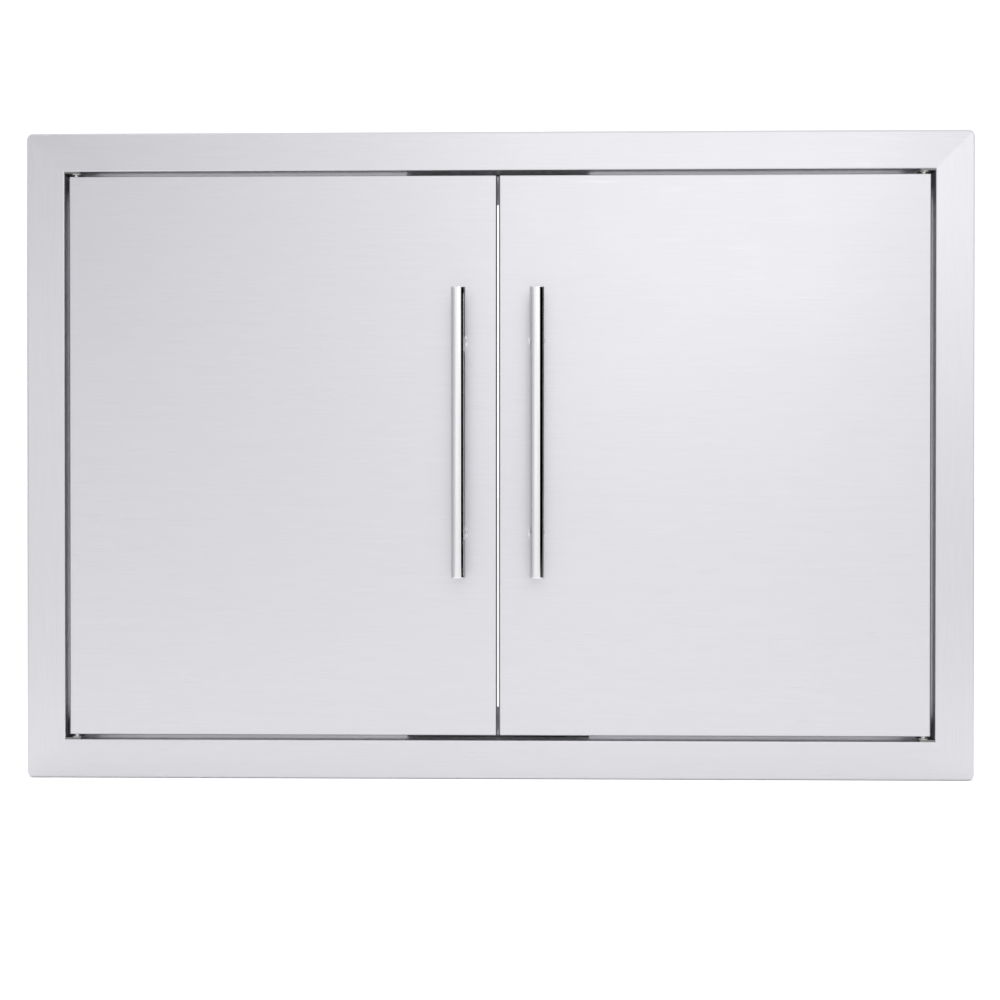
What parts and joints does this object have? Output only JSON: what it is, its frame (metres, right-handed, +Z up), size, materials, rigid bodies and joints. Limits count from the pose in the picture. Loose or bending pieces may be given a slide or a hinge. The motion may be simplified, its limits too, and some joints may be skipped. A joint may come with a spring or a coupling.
{
  "type": "outdoor kitchen island access door",
  "caption": "Trim frame for an opening in a masonry or panelled island, with a pair of flush doors that swing outward on pivot pins and have vertical bar handles.",
  "frame": {"origin": "centre of the frame's opening, in the plane of the island's wall face, which the trim's back lips rest on", "axes": "+X to the right of someone who faces the doors, +Y into the island, +Z up"},
  "size_m": [0.78, 0.091, 0.533],
  "materials": {
    "brushed_stainless": "fine brushed grain along each piece",
    "polished_stainless": "polished, very fine turned grain",
    "plain_stainless": "plain mill finish, folded",
    "pin_steel": "turned and ground",
    "zinc_steel": "bright zinc",
    "screw_steel": "stainless, cold headed",
    "spring_steel": "drawn wire",
    "rivet_alloy": "plain",
    "nylon": "natural nylon",
    "black_plastic": "moulded, fine grain",
    "ferrite": "ground ferrite"
  },
  "bodies": {
    "frame": {"catch_bracket_bottom": "plain_stainless", "catch_bracket_top": "plain_stainless", "catch_housing_bottom_left": "black_plastic", "catch_housing_bottom_right": "black_plastic", "catch_housing_top_left": "black_plastic", "catch_housing_top_right": "black_plastic", "catch_magnet_bottom_left": "ferrite", "catch_magnet_bottom_right": "ferrite", "catch_magnet_top_left": "ferrite", "catch_magnet_top_right": "ferrite", "catch_poles_bottom_left": "zinc_steel", "catch_poles_bottom_right": "zinc_steel", "catch_poles_top_left": "zinc_steel", "catch_poles_top_right": "zinc_steel", "catch_screws": "screw_steel", "frame_bottom_rail": "brushed_stainless", "frame_left_stile": "brushed_stainless", "frame_right_stile": "brushed_stainless", "frame_top_rail": "brushed_stainless", "pivot_bracket_bottom_left": "plain_stainless", "pivot_bracket_bottom_right": "plain_stainless", "pivot_bracket_top_left": "plain_stainless", "pivot_bracket_top_right": "plain_stainless", "pivot_bush_bottom_left": "nylon", "pivot_bush_bottom_right": "nylon", "pivot_bush_top_left": "nylon", "pivot_bush_top_right": "nylon"},
    "left_door": {"left_bottom_pin": "pin_steel", "left_door_liner": "plain_stainless", "left_door_rivets": "rivet_alloy", "left_door_skin": "brushed_stainless", "left_door_stiffener": "plain_stainless", "left_handle_bar": "polished_stainless", "left_handle_post_lower": "polished_stainless", "left_handle_post_upper": "polished_stainless", "left_handle_screws": "screw_steel", "left_pin_carrier": "plain_stainless", "left_pin_spring": "spring_steel", "left_strike_plate_lower": "zinc_steel", "left_strike_plate_upper": "zinc_steel"},
    "right_door": {"right_bottom_pin": "pin_steel", "right_door_liner": "plain_stainless", "right_door_rivets": "rivet_alloy", "right_door_skin": "brushed_stainless", "right_door_stiffener": "plain_stainless", "right_handle_bar": "polished_stainless", "right_handle_post_lower": "polished_stainless", "right_handle_post_upper": "polished_stainless", "right_handle_screws": "screw_steel", "right_pin_carrier": "plain_stainless", "right_pin_spring": "spring_steel", "right_strike_plate_lower": "zinc_steel", "right_strike_plate_upper": "zinc_steel"},
    "left_pin": {"left_pin_clip": "spring_steel", "left_pin_tab": "pin_steel", "left_top_pin": "pin_steel"},
    "right_pin": {"right_pin_clip": "spring_steel", "right_pin_tab": "pin_steel", "right_top_pin": "pin_steel"}
  },
  "joints": [
    {"name": "left_door_hinge", "type": "hinge", "parent": "frame", "child": "left_door", "pos_m": [-0.3496, -0.0022, 0], "axis": [0, 0, -1], "range_deg": [0, 105]},
    {"name": "right_door_hinge", "type": "hinge", "parent": "frame", "child": "right_door", "pos_m": [0.3496, -0.0022, 0], "axis": [0, 0, 1], "range_deg": [0, 105]},
    {"name": "left_pin_slide", "type": "slide", "parent": "left_door", "child": "left_pin", "axis": [0, 0, 1], "range_m": [-0.007, 0], "stiffness_N_per_m": 800, "springref_m": 0.01, "deforming": ["left_pin_spring"]},
    {"name": "right_pin_slide", "type": "slide", "parent": "right_door", "child": "right_pin", "axis": [0, 0, 1], "range_m": [-0.007, 0], "stiffness_N_per_m": 800, "springref_m": 0.01, "deforming": ["right_pin_spring"]}
  ]
}
